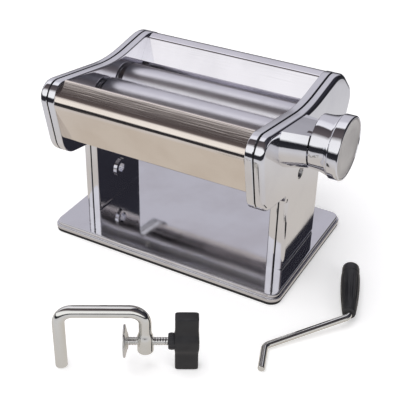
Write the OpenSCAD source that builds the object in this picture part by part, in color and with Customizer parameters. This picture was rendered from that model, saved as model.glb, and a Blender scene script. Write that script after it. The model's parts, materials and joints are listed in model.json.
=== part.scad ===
// Hand-cranked pasta roller machine with its table clamp and crank set down in front.
// X runs across the machine to the knob, Y to the back, Z up from the table.

/* [Body] */
// Margin of the base beyond each side cover
base_margin = 11.3; // [6:0.1:20]
// Depth of the base along Y
base_d = 134; // [110:1:160]
// Height of the base's top face above the table
base_h = 8; // [6:0.5:12]
// Corner radius of the base
base_r = 9; // [4:1:16]
// Thickness of the base sheet
base_sheet = 1.5; // [1:0.1:2]
// Height of the rubber pad under the base
pad_h = 2.4; // [1.5:0.1:3]
// Height of the rollers' axes above the table
roller_z = 109; // [91:1:131]
// Depth of each side frame along X
frame_depth = 5.9; // [5:0.1:7]
// Depth of each side cover along X
cover_depth = 6.7; // [6.5:0.1:9]
// Width of the dark seam between frame and cover
seam_w = 1.1; // [0.4:0.1:1.4]
// Sheet thickness of frames
frame_sheet = 2; // [1.5:0.1:2.5]
// Wall thickness of covers and rims
cover_wall = 1.6; // [1.2:0.1:2]

/* [Rollers] */
// Radius of both rollers
roller_r = 16; // [13.3:0.1:17]
// Length of both rollers
roller_len = 150; // [120:1:184]
// Gap between a roller's end and the side frame
roller_end_gap = 3; // [3:0.1:5]
// Gap between the rollers at the finest setting
gap_fine = 0.4; // [0.2:0.1:1]
// Half of the travel circle of the front roller's axle
throw = 2.1; // [1:0.1:2.4]
// Radius of the roller axles
axle_r = 5; // [4:0.5:5]
// Radial running clearance of shafts
run_fit = 0.05; // [0.02:0.01:0.09]

/* [Gears] */
// Module of the drive pair
mod_drive = 1.5; // [1.4:0.05:1.5]
// Teeth of the gear on the rear roller
n_drive = 26; // [24:1:26]
// Teeth of the pinion on the drive shaft
n_pinion = 22; // [20:1:22]
// Full-circle teeth of the setting sector
n_sector = 46; // [44:1:48]

/* [Setting knob] */
// Turn of the knob from finest to widest, in degrees
knob_turn = 300; // [240:10:320]
// Pull that frees the knob
knob_pull = 4; // [3:0.5:5]
// Radius of the knob's neck
neck_r = 19.7; // [16.4:0.1:21]
// Radius of the knob's rim
rim_r = 23; // [21:0.1:25]
// Radius of the dial collar at the cover
collar_r = 24; // [22:0.5:26]
// Length of the dial collar
collar_len = 18.4; // [14:0.1:22]
// Length of the knob
knob_len = 22.4; // [20:0.1:28]

/* [Crank] */
// Radius of the crank rod
crank_r = 2.5; // [2:0.1:3.5]
// Length of the drive leg
crank_leg = 24; // [22:1:60]
// Crank offset, square to its axes
crank_throw = 57; // [50:1:120]
// Lean of the crank's arm along its axes
crank_lean = 37; // [0:1:40]
// Length of the grip
grip_len = 56; // [45:1:80]
// Radius of the grip
grip_r = 7.7; // [7:0.1:12]

/* [Clamp] */
// Radius of the clamp rod
clamp_r = 4.3; // [3.5:0.1:4.8]
// Distance between the clamp's legs
clamp_span = 58; // [50:1:90]
// Height of the clamp
clamp_h = 52; // [48:1:70]
// Half width of the wing knob
wing_r = 22; // [18:0.5:24]
// Radius of the pressure disc
disc_r = 11.5; // [8:0.5:13]

/* [Hidden] */

round_fn = 64;
eps = 0.01;

// Planes along X, for the right side; the left side mirrors them
x_in = roller_len / 2 + roller_end_gap;
x_seam = x_in + frame_depth;
x_cov = x_seam + seam_w;
x_out = x_cov + cover_depth;
x_panel = x_out - cover_wall;
x_sheet = x_in + frame_sheet;
base_w = 2 * (x_out + base_margin);

// Corners of the side outline as [y, z, corner radius]
foot_y = 33;
head_z = roller_z - 33;
side_corners = [[-foot_y, base_h, 0], [foot_y - 2, base_h, 0], [foot_y - 2, head_z, 8],
                [78, roller_z - 26, 16], [91, roller_z + 2, 16], [60, roller_z + 32, 30],
                [2, roller_z + 23.5, 120], [-88, roller_z + 38.5, 13],
                [-75, roller_z - 26, 18], [-foot_y, head_z, 8]];

// Gear train: the knob pinion turns the sector on the front axle
n_knob = 10;
swing = knob_turn * n_knob / n_sector;
lift_angle = 90 - swing / 2;
rear_y = roller_r + 0.2;
rear_c = [rear_y, roller_z];
front_c = [rear_y - 2 * roller_r - gap_fine, roller_z];
axle_c = front_c - throw * [cos(lift_angle), sin(lift_angle)];
knob_angle = 128;
knob_c = axle_c + (n_knob + n_sector) / 2 * [cos(knob_angle), sin(knob_angle)];
drive_angle = 219;
drive_play = 0.15;
drive_c = rear_c + (mod_drive * (n_drive + n_pinion) / 2 + drive_play)
          * [cos(drive_angle), sin(drive_angle)];

// Layers along X inside the sides
bush_flange = 1.2;
layer_gap = 0.3;
sector_x = x_sheet + bush_flange + layer_gap;
sector_w = 3.4;
gear_x = sector_x + sector_w + 2 * layer_gap;
gear_w = 3.9;
roll_gear_x = x_sheet + 1.5;
roll_gear_w = 4.6;
cheek_w = 2.2;
cheek_gap = 0.4;
journal_r = 9;
journal_hole_r = journal_r + throw + 1.4;

// Knob stations along X
collar_x1 = x_out + collar_len;
knob_x0 = collar_x1 + 0.7;
knob_x1 = knob_x0 + knob_len;
web_x = knob_x0 + 7.2;
web_w = 2;
spring_len = knob_pull + 4;
retainer_x = web_x + web_w + spring_len;
retainer_w = 1.6;
cap_w = 2;
knob_bore_r = neck_r - 2.7;
shaft_r = 3;
pin_ring = neck_r - 6.7;

// Guards
guard_sheet = 1.2;
wall_y = rear_y + roller_r + 5.8;

// Clamp and crank places on the table
clamp_pos = [0.5, -197, 0];
clamp_turn = 30;
screw_z = wing_r;
disc_u = 43;
disc_w = 3.4;
screw_r = 2.9;
leg_end_z = 13.5;
leg_boss_r = clamp_r + 1.3;
leg_boss_z = 31;
bend_r = 10;
crank_pos = [156, -58, 0];
crank_turn = 19;

// ---------- helpers ----------

function unit(v) = v / norm(v);
function cross2(a, b) = a[0] * b[1] - a[1] * b[0];

// Arc that rounds corner q between its neighbours p and s
function round_corner(p, q, s, r) =
    let (u = unit(p - q), v = unit(s - q), half = acos(u * v) / 2,
         c = q + unit(u + v) * r / sin(half), start = q + u * r / tan(half) - c,
         stop = q + v * r / tan(half) - c, a0 = atan2(start[1], start[0]),
         raw = atan2(stop[1], stop[0]) - a0,
         turn = raw > 180 ? raw - 360 : raw < -180 ? raw + 360 : raw,
         n = max(2, ceil(abs(turn) / 6)))
    [for (k = [0:n]) c + r * [cos(a0 + turn * k / n), sin(a0 + turn * k / n)]];

function flat(list) = [for (part = list) for (p = part) p];

// Closed outline through corners [y, z, r]
function rounded(corners) =
    let (n = len(corners))
    flat([for (i = [0:n - 1])
        let (q = corners[i], p = corners[(i + n - 1) % n], s = corners[(i + 1) % n])
        q[2] <= eps ? [[q[0], q[1]]]
                    : round_corner([p[0], p[1]], [q[0], q[1]], [s[0], s[1]], q[2])]);

// The same corners moved inwards by d (counter-clockwise outlines)
function inset(corners, d) =
    let (n = len(corners))
    [for (i = [0:n - 1])
        let (q = corners[i], p = corners[(i + n - 1) % n], s = corners[(i + 1) % n],
             u = unit([p[0] - q[0], p[1] - q[1]]), v = unit([s[0] - q[0], s[1] - q[1]]),
             convex = cross2(v, u) > 0, half = acos(u * v) / 2,
             m = unit(u + v) * d / sin(half) * (convex ? 1 : -1))
        [q[0] + m[0], q[1] + m[1], q[2] <= eps ? 0 : convex ? max(q[2] - d, 0.2) : q[2] + d]];

// Solid of a [y, z] drawing between two X planes
module slab(x0, x1) {
    translate([x0, 0, 0]) rotate([90, 0, 90]) linear_extrude(x1 - x0) children();
}

module side_slab(x0, x1, d = 0) {
    slab(x0, x1) polygon(rounded(inset(side_corners, d)));
}

module rod_x(x0, x1, c, r, r2 = -1) {
    translate([x0, c[0], c[1]]) rotate([0, 90, 0])
        cylinder(h = x1 - x0, r1 = r, r2 = r2 < 0 ? r : r2, $fn = round_fn);
}

module tube_x(x0, x1, c, r_out, r_in) {
    difference() {
        rod_x(x0, x1, c, r_out);
        rod_x(x0 - 1, x1 + 1, c, r_in);
    }
}

module left_too() {
    children();
    mirror([1, 0, 0]) children();
}

// Slim gear tooth profile: teeth narrower than the spaces, so the pair runs with play
module gear_2d(n, m, r_root, r_tip, phase, first = 0, last = -1, root_w = 0.24, tip_w = 0.1) {
    pitch = PI * m;
    count = last < 0 ? n : last - first + 1;
    for (i = [first:first + count - 1]) rotate(phase + i * 360 / n)
        polygon([[r_root - 0.6, -pitch * root_w], [r_tip, -pitch * tip_w],
                 [r_tip, pitch * tip_w], [r_root - 0.6, pitch * root_w]]);
}

module gear_x(x0, w, c, n, m, add, ded, phase, bore) {
    difference() {
        union() {
            slab(x0, x0 + w) translate(c) {
                circle(r = n * m / 2 - ded, $fn = 96);
                gear_2d(n, m, n * m / 2 - ded, n * m / 2 + add, phase);
            }
        }
        rod_x(x0 - 1, x0 + w + 1, c, bore);
    }
}

function plate_round(w, d, r) = rounded([[-w / 2, -d / 2, r], [w / 2, -d / 2, r],
                                         [w / 2, d / 2, r], [-w / 2, d / 2, r]]);

// ---------- base ----------

step_in = 1.6;
step_z = base_h - 2.6;
foot_screw_x = x_in + (frame_depth + frame_sheet) / 2 + 0.2;
foot_screw_y = [-20, 18];
foot_screw_r = 1.5;
block_h = 12;

module base_plate() {
    color("gainsboro") difference() {
        union() {
            translate([0, 0, pad_h]) linear_extrude(step_z - pad_h)
                polygon(plate_round(base_w, base_d, base_r));
            linear_extrude(base_h)
                polygon(plate_round(base_w - 2 * step_in, base_d - 2 * step_in,
                                    base_r - step_in));
        }
        translate([0, 0, -1]) linear_extrude(base_h - base_sheet + 1)
            polygon(plate_round(base_w - 2 * step_in - 3, base_d - 2 * step_in - 3,
                                base_r - step_in - 1.5));
        translate([0, 0, -1]) linear_extrude(pad_h + 1)
            polygon(plate_round(base_w + 2, base_d + 2, base_r));
        for (s = [-1, 1], y = foot_screw_y) translate([s * foot_screw_x, y, 0])
            cylinder(h = base_h + 1, r = foot_screw_r, $fn = 32);
    }
}

module base_pad() {
    color("dimgray") linear_extrude(pad_h)
        polygon(plate_round(base_w - 1, base_d - 1, base_r - 0.5));
}

module base_screws() {
    color("silver") for (s = [-1, 1], y = foot_screw_y) translate([s * foot_screw_x, y, 0]) {
        translate([0, 0, base_h - base_sheet - 2]) cylinder(h = 2, r = 2.8, $fn = 32);
        translate([0, 0, base_h - base_sheet]) cylinder(h = 9, r = foot_screw_r, $fn = 32);
    }
}

module foot_block() {
    color("slategray") difference() {
        translate([x_sheet, -foot_y + 3, base_h + cover_wall])
            cube([x_panel - x_sheet, 2 * foot_y - 8, block_h]);
        for (y = foot_screw_y) translate([foot_screw_x, y, 0])
            cylinder(h = base_h + 7.5, r = foot_screw_r, $fn = 32);
    }
}

module left_foot_block() mirror([1, 0, 0]) foot_block();
module right_foot_block() foot_block();

// ---------- side frames and covers ----------

tie_c = [[-62, roller_z + 3], [68, roller_z + 3]];
tie_r = 4;
post_c = [[-66, roller_z + 19], [62, roller_z + 13], [44, roller_z - 16]];
post_r = 3.5;
post_screw_r = 1.4;
clamp_hole_c = [0, 34];
sleeve_r = clamp_r + 2.7;

module frame_shell() {
    difference() {
        side_slab(x_in, x_seam);
        side_slab(x_sheet, x_seam + 1, cover_wall);
        for (c = tie_c) rod_x(x_in - 1, x_sheet + 1, c, 2);
        for (c = post_c) rod_x(x_in - 1, x_sheet + 1, c, post_screw_r);
        for (y = foot_screw_y) translate([foot_screw_x, y, 0])
            cylinder(h = base_h + 5, r = foot_screw_r, $fn = 32);
        children();
    }
}

module left_frame_plate() {
    color("gainsboro") mirror([1, 0, 0]) frame_shell() {
        rod_x(x_in - 1, x_sheet + 1, rear_c, axle_r + 2);
        rod_x(x_in - 1, x_sheet + 1, axle_c + [0, throw], journal_hole_r);
        rod_x(x_in - 1, x_sheet + 1, clamp_hole_c, sleeve_r);
    }
}

module right_frame_plate() {
    color("gainsboro") frame_shell() {
        rod_x(x_in - 1, x_sheet + 1, rear_c, axle_r + 2);
        rod_x(x_in - 1, x_sheet + 1, axle_c, axle_r + 2);
        rod_x(x_in - 1, x_sheet + 1, drive_c, drive_r + 2);
        rod_x(x_in - 1, x_sheet + 1, knob_c, shaft_r + 2);
    }
}

module cover_shell() {
    difference() {
        union() {
            difference() {
                side_slab(x_cov, x_out);
                side_slab(x_cov - 1, x_panel, cover_wall);
            }
            for (c = post_c) rod_x(x_sheet, x_panel + eps, c, post_r);
            children(0);
        }
        for (c = post_c) rod_x(x_sheet - 1, x_panel - 1.5, c, post_screw_r);
        children(1);
    }
}

boss_x = x_out - 5.2;

module left_cover() {
    color("whitesmoke") mirror([1, 0, 0]) cover_shell() {
        rod_x(boss_x, x_panel + eps, axle_c, 8);
        union() {
            rod_x(boss_x - 1, x_panel - 0.2, axle_c, 6);
            rod_x(x_cov - 1, x_out + 1, clamp_hole_c, sleeve_r);
        }
    }
}

module right_cover() {
    color("whitesmoke") cover_shell() {
        union() {}
        union() {
            rod_x(x_cov, x_out + 1, drive_c, drive_r + drive_ring);
            rod_x(x_cov, x_out + 1, knob_c, shaft_r + 3);
            for (a = collar_screw_a) rod_x(x_cov, x_out + 1, knob_c + 14 * [cos(a), sin(a)], 1.5);
        }
    }
}

module seam_strip() {
    color("black") difference() {
        side_slab(x_seam, x_cov, 0.8);
        side_slab(x_seam - 1, x_cov + 1, cover_wall);
    }
}

module left_seam_strip() mirror([1, 0, 0]) seam_strip();
module right_seam_strip() seam_strip();

module cover_screws() {
    color("silver") for (c = post_c) {
        rod_x(x_in - 1.4, x_in, c, 2.6);
        rod_x(x_in, x_panel - 1.5, c, post_screw_r);
    }
}

module left_cover_screws() mirror([1, 0, 0]) cover_screws();
module right_cover_screws() cover_screws();

// ---------- guards, ties, clamp socket ----------

// Strip of sheet between an open path and the same path moved sideways by t
function side_step(path, t) =
    [for (i = [0:len(path) - 1])
        let (a = path[max(i - 1, 0)], b = path[min(i + 1, len(path) - 1)], d = unit(b - a))
        path[i] + t * [-d[1], d[0]]];

function reversed(list) = [for (i = [len(list) - 1:-1:0]) list[i]];
function strip(path, t) = concat(path, reversed(side_step(path, t)));

// Open path with its inner corners rounded
function rounded_path(c) =
    concat([[c[0][0], c[0][1]]],
           flat([for (i = [1:len(c) - 2])
               round_corner([c[i - 1][0], c[i - 1][1]], [c[i][0], c[i][1]],
                            [c[i + 1][0], c[i + 1][1]], c[i][2])]),
           [[c[len(c) - 1][0], c[len(c) - 1][1]]]);

front_guard_path = rounded_path([[-67, roller_z - 11.5, 0], [-72, roller_z - 13.5, 2.2],
                                 [-86.4, roller_z + 25.4, 9.5],
                                 [-68, roller_z + 35.8, 2.2], [-64, roller_z + 32.4, 0]]);
rear_guard_path = rounded_path([[wall_y, roller_z - 5, 0], [wall_y, roller_z + 10.5, 2.2],
                                [49.5, roller_z + 27.6, 3], [60, roller_z + 29.9, 14],
                                [88.6, roller_z + 1.4, 15], [78, roller_z - 21, 2.2],
                                [74, roller_z - 19, 0]]);

module front_guard() {
    color("tan") slab(-x_in, x_in) polygon(strip(front_guard_path, -guard_sheet));
}

module rear_guard() {
    color("silver") slab(-x_in, x_in) polygon(strip(rear_guard_path, -guard_sheet));
}

module tie_rods() {
    color("gray") for (c = tie_c) difference() {
        rod_x(-x_in, x_in, c, tie_r);
        left_too() rod_x(x_in - 10, x_in + 1, c, 2);
    }
}

module tie_rod_screws() {
    color("silver") left_too() for (c = tie_c) {
        rod_x(x_in - 9, x_sheet, c, 2);
        rod_x(x_sheet, x_sheet + 2.4, c, 3.6);
    }
}

module clamp_socket() {
    color("gainsboro") mirror([1, 0, 0]) difference() {
        union() {
            rod_x(x_in - 1.6, x_in, clamp_hole_c, sleeve_r + 0.9);
            rod_x(x_in, x_out, clamp_hole_c, sleeve_r);
        }
        rod_x(x_in - 3, x_out + 1, clamp_hole_c, clamp_r + 0.15);
    }
}

// ---------- dial collar and bushes ----------

collar_screw_a = [200, 320];
groove_w = 1.7;
groove_d = 4.6;
groove_gap = 2.2;

module dial_collar() {
    color("whitesmoke") difference() {
        intersection() {
            rod_x(x_out, collar_x1, knob_c, collar_r, neck_r + 0.1);
            side_slab(x_out, collar_x1, 0.8);
        }
        rod_x(x_out - 1, collar_x1 + 1, knob_c, shaft_r + 3);
        tube_x(collar_x1 - groove_d, collar_x1 + 1, knob_c,
               pin_ring + groove_w, pin_ring - groove_w);
        for (a = collar_screw_a)
            rod_x(x_out - 1, x_out + 8, knob_c + 14 * [cos(a), sin(a)], 1.5);
    }
}

module collar_screws() {
    color("silver") for (a = collar_screw_a) {
        c = knob_c + 14 * [cos(a), sin(a)];
        rod_x(x_panel - 1.8, x_panel, c, 2.6);
        rod_x(x_panel, x_out + 7.5, c, 1.5);
    }
}

module flanged_bush(c, r_in, x1) {
    difference() {
        union() {
            rod_x(x_in, x1, c, r_in + 2);
            rod_x(x_sheet, x_sheet + bush_flange, c, r_in + 3.5);
        }
        rod_x(x_in - 1, x1 + 1, c, r_in + run_fit);
    }
}

module knob_shaft_bush() {
    color("peru") {
        flanged_bush(knob_c, shaft_r, x_sheet + bush_flange);
        tube_x(x_panel, collar_x1 - 6, knob_c, shaft_r + 3, shaft_r + run_fit);
    }
}

module rear_roller_bushes() {
    color("peru") left_too() flanged_bush(rear_c, axle_r, x_sheet + bush_flange);
}

stub_r = 4;
module front_axle_bushes() {
    color("peru") {
        flanged_bush(axle_c, axle_r, x_sheet + bush_flange);
        mirror([1, 0, 0]) tube_x(boss_x, x_panel - 0.2, axle_c, 6, stub_r + run_fit);
    }
}

drive_r = 5;
drive_ring = 0.8;
module drive_shaft_bushes() {
    color("peru") {
        flanged_bush(drive_c, drive_r, x_sheet + bush_flange);
        tube_x(x_panel, x_out, drive_c, drive_r + drive_ring, drive_r + run_fit);
    }
}

// Thin blade that points at a roller's axis and stops short of its face
scraper_gap = 0.5;
scraper_len = 9;
module blade(c, a, x) {
    slab(-x, x) translate(c) rotate(a) translate([roller_r + scraper_gap, -0.8])
        square([scraper_len, 1.6]);
}

rear_blade_a = 300;
front_blade_a = 235;
module rear_scraper() color("silver") blade(rear_c, rear_blade_a, x_in);

// ---------- rear roller and drive ----------

roll_end = roller_len / 2;
module rear_roller() {
    color("lightgray") {
        rod_x(-roll_end, roll_end, rear_c, roller_r);
        rod_x(-roll_gear_x - roll_gear_w, -roll_end, rear_c, axle_r);
        rod_x(roll_end, gear_x + gear_w, rear_c, axle_r);
    }
}

n_roll = 12;
mod_roll = (2 * roller_r + 1) / n_roll;
roll_add = 0.8 * mod_roll;
roll_ded = 1.236 * mod_roll;
module rear_roller_gear() {
    color("darkgray") mirror([1, 0, 0])
        gear_x(roll_gear_x, roll_gear_w, rear_c, n_roll, mod_roll, roll_add, roll_ded,
               180, axle_r);
}

module drive_gear() {
    color("darkgray") gear_x(gear_x, gear_w, rear_c, n_drive, mod_drive, 1.35, 1.8,
                             drive_angle, axle_r);
}

module drive_pinion() {
    color("darkgray") gear_x(gear_x, gear_w, drive_c, n_pinion, mod_drive, 1.35, 1.8,
                             drive_angle + 180 + 180 / n_pinion, drive_r);
}

socket_depth = 22;
drive_x0 = x_in - 12;
socket_r = crank_r + 0.1;
module drive_shaft() {
    color("silver") difference() {
        rod_x(drive_x0, x_out - 0.4, drive_c, drive_r);
        rod_x(x_out - 0.4 - socket_depth, x_out + 1, drive_c, socket_r);
        rod_x(x_out - 1.9, x_out - 0.3, drive_c, socket_r - 0.05, socket_r + 1.5);
    }
}

// ---------- setting knob ----------

module knob_shaft() {
    color("silver") rod_x(x_in - 0.4, retainer_x + retainer_w + 0.4, knob_c, shaft_r);
}

knob_add = 0.85;
knob_ded = 1.2;
module knob_pinion() {
    color("darkgray") difference() {
        slab(sector_x, sector_x + sector_w) translate(knob_c) {
            circle(r = n_knob / 2 - knob_ded, $fn = 48);
            gear_2d(n_knob, 1, n_knob / 2 - knob_ded, n_knob / 2 + knob_add,
                    knob_angle + 180 + 180 / n_knob, root_w = 0.21, tip_w = 0.08);
        }
        rod_x(sector_x - 1, sector_x + sector_w + 1, knob_c, shaft_r);
    }
}

module knob_retainer() {
    color("silver") tube_x(retainer_x, retainer_x + retainer_w, knob_c, 6.5, shaft_r);
}

// Neck, flare and rim of the knob, as [distance along X, radius]
flare_x = 9;
module knob_profile() {
    polygon(concat([[0, 0], [0, neck_r]],
                   [for (k = [0:8]) let (t = k / 8)
                       [2 + flare_x * t + 4 * t, neck_r + 0.2 + (rim_r - neck_r - 1) * t * t]],
                   [[15.6, rim_r], [knob_len - 0.8, rim_r], [knob_len, rim_r - 0.8],
                    [knob_len, 0]]));
}

module knob_body() {
    color("whitesmoke") translate([knob_x0, knob_c[0], knob_c[1]]) rotate([0, 90, 0])
        difference() {
            rotate_extrude($fn = 96) rotate(90) mirror([0, 1]) knob_profile();
            translate([0, 0, -1]) cylinder(h = web_x - knob_x0 + 1, r = knob_bore_r, $fn = 72);
            translate([0, 0, web_x - knob_x0 + web_w])
                cylinder(h = knob_len, r = knob_bore_r, $fn = 72);
            translate([0, 0, knob_len - cap_w]) cylinder(h = cap_w + 1, r = rim_r - 1.6, $fn = 96);
            translate([0, 0, -1]) cylinder(h = knob_len, r = shaft_r + run_fit, $fn = 48);
            rotate(pin_turn) translate([pin_ring, 0, -1])
                cylinder(h = knob_len - cap_w, r = pin_r, $fn = 32);
        }
}

module knob_cap() {
    color("tan") rod_x(knob_x1 - cap_w, knob_x1, knob_c, rim_r - 1.6);
}

pin_r = 1.2;
pin_turn = 20;
module knob_pin() {
    color("gray") translate([collar_x1 - groove_d + 0.8, knob_c[0], knob_c[1]])
        rotate([0, 90, 0]) rotate(pin_turn) translate([pin_ring, 0, 0])
        cylinder(h = web_x + web_w - collar_x1 + groove_d - 0.8, r = pin_r, $fn = 32);
}

// Compression spring as stacked rings round the shaft
spring_turns = 5;
module knob_spring() {
    wire = 0.55;
    pitch = (spring_len - 2 * wire) / (spring_turns - 1);
    color("gray") translate([web_x + web_w, knob_c[0], knob_c[1]]) rotate([0, 90, 0])
        for (k = [0:spring_turns - 1]) translate([0, 0, wire + k * pitch])
            rotate_extrude($fn = 48) translate([4.9, 0]) circle(r = wire, $fn = 16);
}

// ---------- front axle, sector, cheeks and roller ----------

module front_axle() {
    color("silver") {
        rod_x(x_in - 0.4, sector_x + sector_w + 0.3, axle_c, axle_r);
        rod_x(-boss_x + 0.2, x_in - 0.4, front_c, axle_r - 0.6);
        rod_x(-x_panel + 0.6, -boss_x + 0.2, axle_c, stub_r);
    }
}

sector_hub = 8.5;
sector_margin = 14;
module setting_sector() {
    a1 = knob_angle + sector_margin;
    a0 = knob_angle - swing - sector_margin;
    step = 360 / n_sector;
    color("darkgray") difference() {
        slab(sector_x, sector_x + sector_w) translate(axle_c) {
            circle(r = sector_hub, $fn = 72);
            polygon(concat([[0, 0]], [for (k = [0:16])
                (n_sector / 2 - 1.2) * [cos(a0 + (a1 - a0) * k / 16),
                                        sin(a0 + (a1 - a0) * k / 16)]]));
            gear_2d(n_sector, 1, n_sector / 2 - 1.2, n_sector / 2 + 0.85, knob_angle,
                    -floor((swing + sector_margin - 2) / step),
                    floor((sector_margin - 2) / step), root_w = 0.21, tip_w = 0.08);
        }
        rod_x(sector_x - 1, sector_x + sector_w + 1, axle_c, axle_r);
    }
}

cheek_x = roll_end + cheek_gap;
cheek_r = 13;
cheek_arm = 12;
module cheek(x0, hole_r) {
    difference() {
        slab(x0, x0 + cheek_w) translate(front_c) {
            circle(r = cheek_r, $fn = 72);
            rotate(front_blade_a) translate([0, -cheek_arm / 2])
                square([roller_r + scraper_gap + scraper_len, cheek_arm]);
        }
        rod_x(x0 - 1, x0 + cheek_w + 1, front_c, hole_r);
    }
}

module left_cheek() color("silver") cheek(-cheek_x - cheek_w, journal_r + run_fit);
module right_cheek() color("silver") cheek(cheek_x, axle_r - 0.6 + run_fit);
module front_scraper() color("silver") blade(front_c, front_blade_a, cheek_x);

module front_roller() {
    color("lightgray") difference() {
        union() {
            rod_x(-roll_end, roll_end, front_c, roller_r);
            rod_x(-roll_gear_x - roll_gear_w, -roll_end, front_c, journal_r);
        }
        rod_x(-x_out, x_out, front_c, axle_r - 0.6 + run_fit);
    }
}

module front_roller_gear() {
    color("darkgray") mirror([1, 0, 0])
        gear_x(roll_gear_x, roll_gear_w, front_c, n_roll, mod_roll, roll_add, roll_ded,
               180 / n_roll, journal_r);
}

// ---------- table clamp ----------

// Round rod along [x, y] points, its corners bent to radius big
module bent_rod(p, big, r) {
    last = len(p) - 1;
    for (i = [1:last]) {
        d = unit(p[i] - p[i - 1]);
        start = i == 1 ? 0 : bend_run(p[i - 2], p[i - 1], p[i], big);
        stop = i == last ? 0 : bend_run(p[i - 1], p[i], p[i + 1], big);
        translate(concat(p[i - 1] + d * start, [0])) rotate([0, 90, atan2(d[1], d[0])])
            cylinder(h = norm(p[i] - p[i - 1]) - start - stop, r = r, $fn = 48);
    }
    for (i = [1:last - 1]) {
        u = unit(p[i - 1] - p[i]);
        v = unit(p[i + 1] - p[i]);
        run = bend_run(p[i - 1], p[i], p[i + 1], big);
        mid = p[i] + unit(u + v) * big / sin(acos(u * v) / 2);
        a = p[i] + u * run - mid;
        b = p[i] + v * run - mid;
        first = cross2(a, b) > 0 ? a : b;
        translate(concat(mid, [0])) rotate(atan2(first[1], first[0]))
            rotate_extrude(angle = 180 - acos(u * v), $fn = 96)
            translate([big, 0]) circle(r = r, $fn = 36);
    }
}

function bend_run(a, q, b, big) = big / tan(acos(unit(a - q) * unit(b - q)) / 2);

module at_clamp() translate(clamp_pos) rotate(clamp_turn) children();

module clamp_rod() {
    back_z = clamp_h - clamp_r;
    color("gainsboro") at_clamp() difference() {
        union() {
            rotate([90, 0, 0]) bent_rod([[0, 0], [0, back_z], [clamp_span, back_z],
                                         [clamp_span, leg_end_z]], bend_r, clamp_r);
            translate([clamp_span, 0, leg_end_z])
                cylinder(h = leg_boss_z - leg_end_z, r = leg_boss_r, $fn = 48);
        }
        translate([clamp_span - 10, 0, screw_z]) rotate([0, 90, 0])
            cylinder(h = 20, r = screw_r + run_fit, $fn = 48);
    }
}

module clamp_disc() {
    color("silver") at_clamp() translate([disc_u, 0, screw_z]) rotate([0, 90, 0])
        difference() {
            union() {
                cylinder(h = disc_w * 0.5, r = disc_r, $fn = 72);
                translate([0, 0, disc_w * 0.5])
                    cylinder(h = disc_w * 0.5, r1 = disc_r, r2 = 5.5, $fn = 72);
            }
            translate([0, 0, 1.5]) cylinder(h = disc_w, r = screw_r + 0.05, $fn = 48);
        }
}

wing_x0 = clamp_span + 16;
module clamp_screw() {
    color("silver") at_clamp() translate([disc_u + 1.6, 0, screw_z]) rotate([0, 90, 0])
        cylinder(h = wing_x0 + 12 - disc_u - 1.6, r = screw_r, $fn = 48);
}

module wing_knob() {
    color("black") at_clamp() translate([wing_x0, 0, screw_z]) difference() {
        union() {
            rotate([0, 90, 0]) cylinder(h = 5, r = 5.5, $fn = 48);
            translate([4, -4.5, -wing_r]) cube([16, 9, 2 * wing_r]);
        }
        rotate([0, 90, 0]) translate([0, 0, -1]) cylinder(h = 13, r = screw_r, $fn = 48);
    }
}

// ---------- crank ----------

// Rod of radius r swept along flat [x, y] points
module swept_rod(path, r, n = 24) {
    last = len(path) - 1;
    rings = [for (i = [0:last])
        let (d = unit(path[min(i + 1, last)] - path[max(i - 1, 0)]))
        for (k = [0:n - 1]) let (a = 360 * k / n)
            [path[i][0] - d[1] * r * cos(a), path[i][1] + d[0] * r * cos(a), r * sin(a)]];
    sides = [for (i = [0:last - 1], k = [0:n - 1])
        let (m = (k + 1) % n, p = i * n, q = p + n)
        each [[p + k, q + k, q + m], [p + k, q + m, p + m]]];
    polyhedron(rings, concat(sides, [[for (k = [0:n - 1]) k],
                                     [for (k = [n - 1:-1:0]) last * n + k]]));
}

// The crank lies on its grip and on the end of its arm
grip_gap = 3;
crank_bend = 6;
crank_tilt = -asin((grip_r - crank_r) / crank_throw);
crank_path = rounded_path([[0, grip_gap + grip_len + 1.4, 0], [0, 0, crank_bend],
                           [-crank_throw, -crank_lean, crank_bend],
                           [-crank_throw, -crank_lean - crank_leg, 0]]);
module at_crank() {
    translate(crank_pos + [0, 0, grip_r]) rotate([0, 0, crank_turn]) rotate([0, crank_tilt, 0])
        children();
}

module crank_rod() {
    color("gainsboro") at_crank() swept_rod(crank_path, crank_r);
}

// Grip outline as [distance from the elbow end, radius]
module crank_grip() {
    color("black") at_crank() translate([0, grip_gap, 0]) rotate([-90, 0, 0]) difference() {
        rotate_extrude($fn = 72)
            polygon([[0, 0], [grip_r - 3.2, 0], [grip_r - 2.6, 1.2], [grip_r - 0.9, 11],
                     [grip_r, 23], [grip_r, grip_len - 21], [grip_r - 0.5, grip_len - 11],
                     [grip_r - 0.6, grip_len - 9], [grip_r - 1.3, grip_len - 8.6],
                     [grip_r - 1.1, grip_len - 0.8], [grip_r - 1.7, grip_len], [0, grip_len]]);
        translate([0, 0, -1]) cylinder(h = grip_len + 2, r = crank_r + run_fit, $fn = 48);
    }
}

module grip_washer() {
    color("silver") at_crank() translate([0, grip_gap + grip_len + 0.2, 0])
        rotate([-90, 0, 0]) difference() {
            cylinder(h = 1.2, r = crank_r + 1.8, $fn = 48);
            translate([0, 0, -1]) cylinder(h = 4, r = crank_r, $fn = 40);
        }
}

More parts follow.
